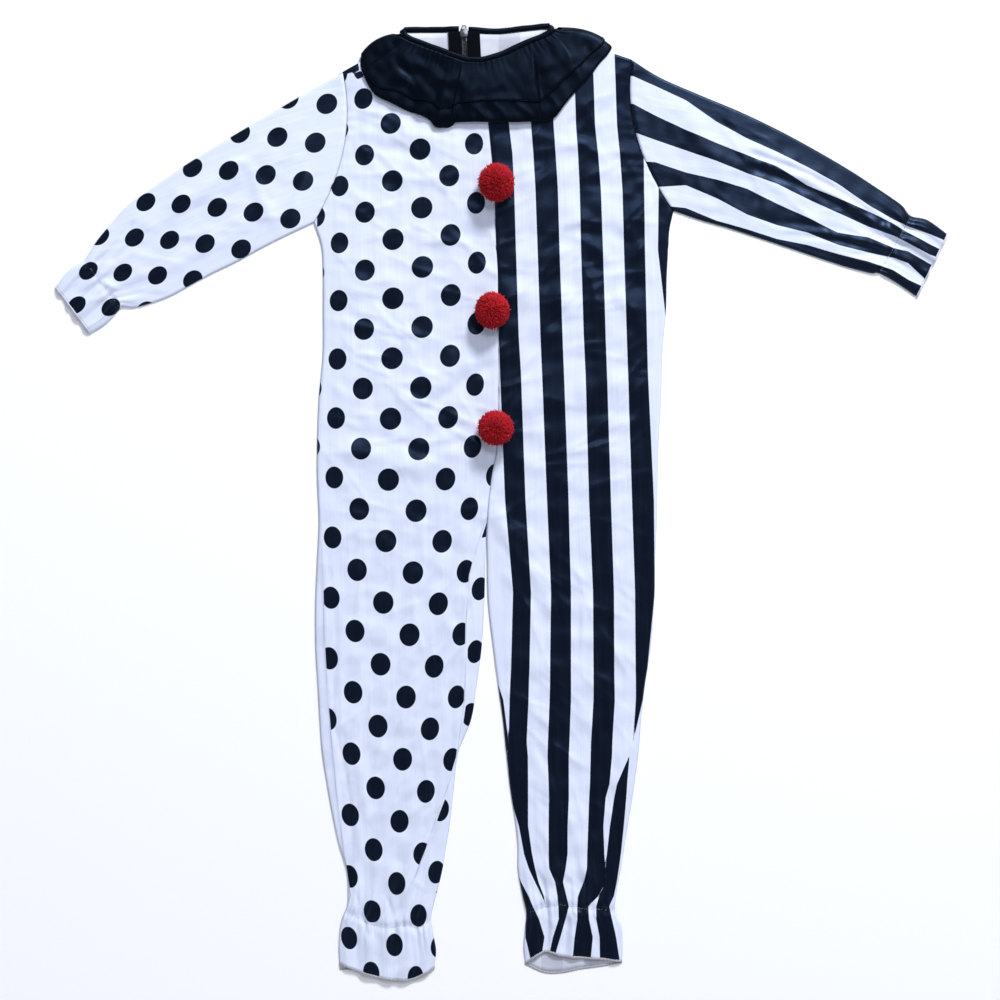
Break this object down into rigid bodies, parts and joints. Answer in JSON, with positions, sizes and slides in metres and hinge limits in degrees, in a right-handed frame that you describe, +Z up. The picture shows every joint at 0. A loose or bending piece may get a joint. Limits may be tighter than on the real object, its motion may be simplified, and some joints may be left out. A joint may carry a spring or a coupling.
{
  "type": "clown costume",
  "caption": "Child's one-piece clown suit laid flat, half dotted and half striped satin, with a ruffled collar, red pompoms down the front and a zip up the back.",
  "frame": {"origin": "on the surface that the suit lies on, below the middle of its outline", "axes": "+Z up out of the front, +Y from the legs to the neck, +X to the viewer's right, where the striped half is"},
  "size_m": [1.071, 1.1475, 0.0442],
  "materials": {
    "dotted_satin": "thin polyester satin, bluish white with a printed black dot",
    "striped_satin": "thin polyester satin, printed in even black and white stripes",
    "black_satin": "black polyester satin, soft sheen",
    "zip_tape": "black woven polyester tape, matt",
    "zip_nylon": "black nylon coil",
    "nickel": "nickel-plated zinc, slightly dulled",
    "red_yarn": "cut red acrylic yarn, matt"
  },
  "bodies": {
    "garment": {"back_dots": "dotted_satin", "back_stripes": "striped_satin", "front_dots": "dotted_satin", "front_stripes": "striped_satin", "sleeve_dots": "dotted_satin", "sleeve_stripes": "striped_satin", "ruffle_long": "black_satin", "ruffle_short": "black_satin", "neck_binding": "black_satin", "zip_tape_left": "zip_tape", "zip_tape_right": "zip_tape", "zip_coil": "zip_nylon", "zip_slider": "nickel", "pompom_1": "red_yarn", "pompom_2": "red_yarn", "pompom_3": "red_yarn"},
    "pull": {"zip_pull": "nickel"}
  },
  "joints": [
    {"name": "pull_swing", "type": "hinge", "parent": "garment", "child": "pull", "pos_m": [-0.0456, 0.5617, 0.0033], "axis": [-1, 0, 0], "range_deg": [0, 152]}
  ]
}
